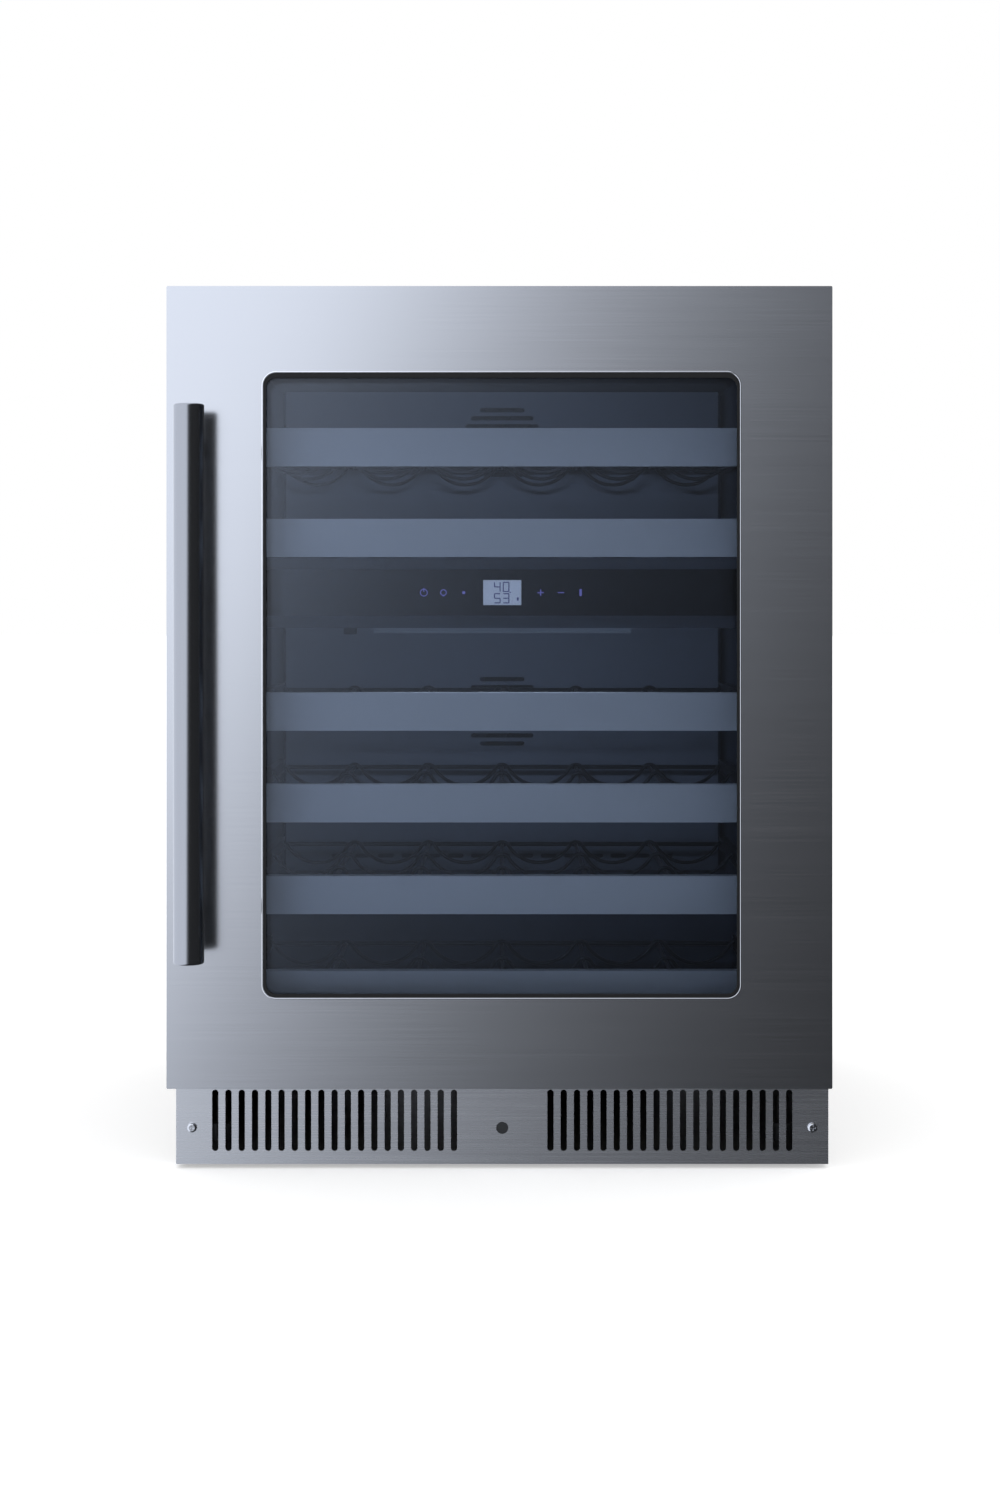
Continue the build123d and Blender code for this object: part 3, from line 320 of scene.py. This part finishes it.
@dataclass
class SteelAndGlass:
    """Finishes of the CAD nodes, by look."""

    maker: FinishMaker
    tint: Colour = (0.84, 0.865, 0.90)
    mirror: float = 0.03
    looks: dict[Look, tuple[str, ...]] = field(default_factory=lambda: {
        Look.DOOR_STEEL: ("door_skin",),
        # Kick plate gets the brighter steel: painted sheen.
        Look.KICK_STEEL_PAINTED_SHEEN: ("kick_plate",),
        Look.RACK_STEEL: tuple(f"rack_{i}_front" for i in range(1, 7)),
        # Handle bar and posts get the darker steel: painted shade.
        Look.BAR_STEEL_PAINTED_SHADE: ("handle_bar", "handle_posts"),
        Look.BLACK_SHEET: ("side_panels", "top_panel", "rear_panel", "hinge_brackets"),
        # Base pan and lock in near-black zinc: painted shade behind the slots and in the lock's hole.
        Look.ZINC_PAINTED_SHADE: ("base_pan", "lock_housing", "lock_barrel"),
        Look.ZINC: ("condenser",),
        Look.FOAM: ("insulation", "door_core"),
        Look.LINER: ("inner_liner", "zone_divider", "door_inner_frame"),
        Look.DUCT: ("duct_panels",),
        Look.PLASTIC: ("mains_inlet", "fan_frames", "upper_fan", "lower_fan", "condenser_fan", "drip_tray"),
        Look.GLOSS: ("control_fascia",),
        Look.TRIM: ("window_bead", "edge_plugs", "air_sensors"),
        Look.SCREEN: ("display",),
        Look.BOARD: ("control_board",),
        Look.DIFFUSER: ("light_strips",),
        Look.ALUMINIUM: ("evaporators", "glass_spacer"),
        Look.BLACK_COAT: ("compressor", "wall_rails") + tuple(f"rack_{i}_frame" for i in range(1, 7)),
        Look.RUBBER: ("compressor_grommets", "door_gasket", "foot_front_left", "foot_front_right",
                      "foot_rear_left", "foot_rear_right"),
        Look.COPPER: ("refrigerant_lines", "hinge_bushes"),
        Look.CHROME: ("cabinet_screws", "hinge_pins", "lock_bolt"),
    })

    def apply(self) -> None:
        """Put each finish into the material slots of its CAD nodes."""
        for look, names in self.looks.items():
            for name in names:
                self._paint(name, self.maker.get(look))
        for name in ("outer_glass", "inner_glass"):
            self._paint(name, self.maker.glass(self.tint, self.mirror))

    @staticmethod
    def _paint(name: str, material: bpy.types.Material) -> None:
        """Set a CAD node's material.

        Args:
            name: the node.
            material: its finish.
        """
        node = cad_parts[name]
        if not node.material_slots:
            node.data.materials.append(material)
        for place in node.material_slots:
            place.material = material


@dataclass
class WindowTrim:
    """Bevelled edge of the steel round the window, coloured brighter than the door steel as a painted
    highlight line.
    """

    maker: FinishMaker
    radius: float = 0.0117
    width: float = 0.0013
    proud: float = 0.0002
    bead_margin: float = 0.014
    inner_depth: float = 0.0009

    def build(self) -> bpy.types.Object:
        """Make the edge from the bead's outline.

        Returns:
            The trim ring.
        """
        bead = extent("window_bead")
        front = extent("door_skin")[0, 1]
        low, high = bead[0, [0, 2]] + self.bead_margin, bead[1, [0, 2]] - self.bead_margin
        outline = rounded_outline(low, high, self.radius)
        profile = np.array([[0.0001, front + self.inner_depth], [0.0001, front], [0.0004, front - self.proud],
                            [self.width - 0.0003, front - self.proud], [self.width, front]])
        points, faces = ring_strip(outline, profile)
        # The trim's brighter steel is a painted highlight line.
        return add_piece("window_trim", points, faces, self.maker.get(Look.EDGE_STEEL_PAINTED_HIGHLIGHT), "door")


@dataclass
class ControlMarks:
    """Digits of the display and the touch marks beside it."""

    maker: FinishMaker
    digit_width: float = 0.0052
    digit_height: float = 0.0085
    stroke: float = 0.0010
    gap: float = 0.0015
    depth: float = 0.0001
    row_lift: float = 0.0053
    ring_width: float = 0.0008
    near: float = 0.0358
    middle: float = 0.0547
    far: float = 0.0730
    segments: dict[str, str] = field(default_factory=lambda: {
        "4": "fgbc", "0": "abcdef", "5": "afgcd", "3": "abgcd"})

    def _digit(self, sign: str, x: float, z: float) -> list[list[float]]:
        """Bars of one seven-segment digit.

        Args:
            sign: the digit.
            x: its middle.
            z: its middle.

        Returns:
            Rows of middle x, middle z, width and height.
        """
        w, h, s = self.digit_width, self.digit_height, self.stroke
        bars = {"a": [x, z + h / 2, w, s], "g": [x, z, w, s], "d": [x, z - h / 2, w, s],
                "f": [x - w / 2, z + h / 4, s, h / 2], "b": [x + w / 2, z + h / 4, s, h / 2],
                "e": [x - w / 2, z - h / 4, s, h / 2], "c": [x + w / 2, z - h / 4, s, h / 2]}
        return [bars[key] for key in self.segments[sign]]

    def build(self) -> None:
        """Lay the digits on the display and the marks on the fascia."""
        screen, fascia = extent("display"), extent("control_fascia")
        middle = (screen[0] + screen[1]) / 2
        pitch = self.digit_width + 2 * self.gap
        rows = ((self.row_lift, "40"), (-self.row_lift, "53"))
        bars = [bar for lift, text in rows for k, sign in enumerate(text)
                for bar in self._digit(sign, middle[0] - 0.0005 + (k - 0.5) * pitch, middle[2] + lift)]
        bars += [[middle[0] + 0.0075, middle[2] + 0.0002, 0.0012, 0.0012],
                 [middle[0] + 0.0145, middle[2] - 0.0060, 0.0018, 0.0030]]
        points, faces = thin_boxes(np.array(bars), screen[0, 1], self.depth)
        add_piece("display_digits", points, faces, self.maker.get(Look.DIGIT), "cabinet")
        x, z = middle[0], middle[2]
        marks = np.array([[x + self.near, z, 0.0060, 0.0009], [x + self.near, z, 0.0009, 0.0060],
                          [x + self.middle, z, 0.0060, 0.0009], [x + self.far, z, 0.0022, 0.0064],
                          [x - self.near, z, 0.0026, 0.0026], [x - self.middle, z - 0.0030, 0.0022, 0.0008],
                          [x - self.far, z + 0.0024, 0.0008, 0.0036]])
        points, faces = thin_boxes(marks, fascia[0, 1], self.depth)
        add_piece("touch_marks", points, faces, self.maker.get(Look.MARK), "cabinet")
        for name, shift, radius in (("power_mark", -self.far, 0.0028), ("lamp_mark", -self.middle, 0.0022)):
            centre = np.array([x + shift, z])
            outline = rounded_outline(centre - radius, centre + radius, radius)
            front = fascia[0, 1] - self.depth
            profile = np.array([[0.0, front], [self.ring_width, front]])
            points, faces = ring_strip(outline, profile)
            add_piece(name, points, faces, self.maker.get(Look.MARK), "cabinet")


@dataclass
class Studio:
    """White room, soft graded reflections, zone lights and the camera."""

    floor_glow: float = 0.42
    slope_x: float = -10.0
    slope_z: float = 4.4
    level: float = -0.95
    brightest: float = 1.4
    darkest: float = 0.03

    def build(self) -> None:
        """Make floor, world, lamps and camera."""
        self._floor()
        self._world()
        for name, z in (("upper_zone_lamp", 0.738), ("lower_zone_lamp", 0.480)):
            self._zone_lamp(name, z)
        self._camera()
        bpy.context.scene.view_settings.view_transform = "Standard"

    def _floor(self) -> None:
        """White floor that is bright in the open and keeps the contact shadow."""
        mesh = bpy.data.meshes.new("floor")
        mesh.from_pydata([(-30, -30, 0), (30, -30, 0), (30, 30, 0), (-30, 30, 0)], [], [(0, 1, 2, 3)])
        material = bpy.data.materials.new("floor_white")
        material.use_nodes = True
        shader = material.node_tree.nodes["Principled BSDF"]
        shader.inputs["Base Color"].default_value = (0.85, 0.85, 0.85, 1.0)
        shader.inputs["Roughness"].default_value = 1.0
        shader.inputs["Specular IOR Level"].default_value = 0.0
        shader.inputs["Emission Color"].default_value = (1.0, 1.0, 1.0, 1.0)
        shader.inputs["Emission Strength"].default_value = self.floor_glow
        mesh.materials.append(material)
        floor = bpy.data.objects.new("floor", mesh)
        floor.visible_glossy = False
        bpy.context.scene.collection.objects.link(floor)

    def _world(self) -> None:
        """White surroundings; reflections fall off from the upper left to the lower right."""
        world = bpy.data.worlds.new("studio")
        world.use_nodes = True
        bpy.context.scene.world = world
        nodes, links = world.node_tree.nodes, world.node_tree.links
        white = nodes["Background"]
        white.inputs["Color"].default_value = (1.0, 1.0, 1.0, 1.0)
        graded = nodes.new("ShaderNodeBackground")
        graded.inputs["Color"].default_value = (0.84, 0.89, 1.0, 1.0)
        place = nodes.new("ShaderNodeTexCoord")
        slope = nodes.new("ShaderNodeVectorMath")
        slope.operation = "DOT_PRODUCT"
        slope.inputs[1].default_value = (self.slope_x, 0.0, self.slope_z)
        shift = nodes.new("ShaderNodeMath")
        shift.operation = "ADD"
        shift.inputs[1].default_value = self.level
        power = nodes.new("ShaderNodeMath")
        power.operation = "EXPONENT"
        low = nodes.new("ShaderNodeMath")
        low.operation = "MAXIMUM"
        low.inputs[1].default_value = self.darkest
        high = nodes.new("ShaderNodeMath")
        high.operation = "MINIMUM"
        high.inputs[1].default_value = self.brightest
        links.new(place.outputs["Generated"], slope.inputs[0])
        links.new(slope.outputs["Value"], shift.inputs[0])
        links.new(shift.outputs["Value"], power.inputs[0])
        links.new(power.outputs["Value"], low.inputs[0])
        links.new(low.outputs["Value"], high.inputs[0])
        links.new(high.outputs["Value"], graded.inputs["Strength"])
        ray = nodes.new("ShaderNodeLightPath")
        both = nodes.new("ShaderNodeMixShader")
        links.new(ray.outputs["Is Glossy Ray"], both.inputs["Fac"])
        links.new(white.outputs["Background"], both.inputs[1])
        links.new(graded.outputs["Background"], both.inputs[2])
        links.new(both.outputs["Shader"], nodes["World Output"].inputs["Surface"])

    @staticmethod
    def _zone_lamp(name: str, z: float) -> None:
        """Cool strip light at the top of a zone, turned to the rear wall.

        Args:
            name: the lamp's name.
            z: its height.
        """
        light = bpy.data.lights.new(name, "AREA")
        light.shape = "RECTANGLE"
        light.size, light.size_y = 0.24, 0.01
        light.energy = 0.8
        light.color = (0.80, 0.88, 1.0)
        lamp = bpy.data.objects.new(name, light)
        lamp.location = (0.0, -0.165, z)
        lamp.rotation_euler = (math.radians(50), 0.0, 0.0)
        lamp.visible_camera = False
        lamp.visible_glossy = False
        bpy.context.scene.collection.objects.link(lamp)

    @staticmethod
    def _camera() -> None:
        """Level camera, two metres before the door."""
        data = bpy.data.cameras.new("camera")
        data.sensor_width, data.lens = 36.0, 53.28
        data.shift_x, data.shift_y = -0.0013, -0.1
        camera = bpy.data.objects.new("camera", data)
        camera.location = (0.0018, float(extent("door_skin")[0, 1]) - 2.0, 0.5185)
        camera.rotation_euler = (math.radians(90), 0.0, 0.0)
        bpy.context.scene.collection.objects.link(camera)
        bpy.context.scene.camera = camera


def main() -> None:
    """Dress the appliance and light it."""
    logging.basicConfig(level=logging.INFO)
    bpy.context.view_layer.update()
    maker = FinishMaker()
    SteelAndGlass(maker).apply()
    WindowTrim(maker).build()
    ControlMarks(maker).build()
    Studio().build()


if __name__ == "__main__":
    main()
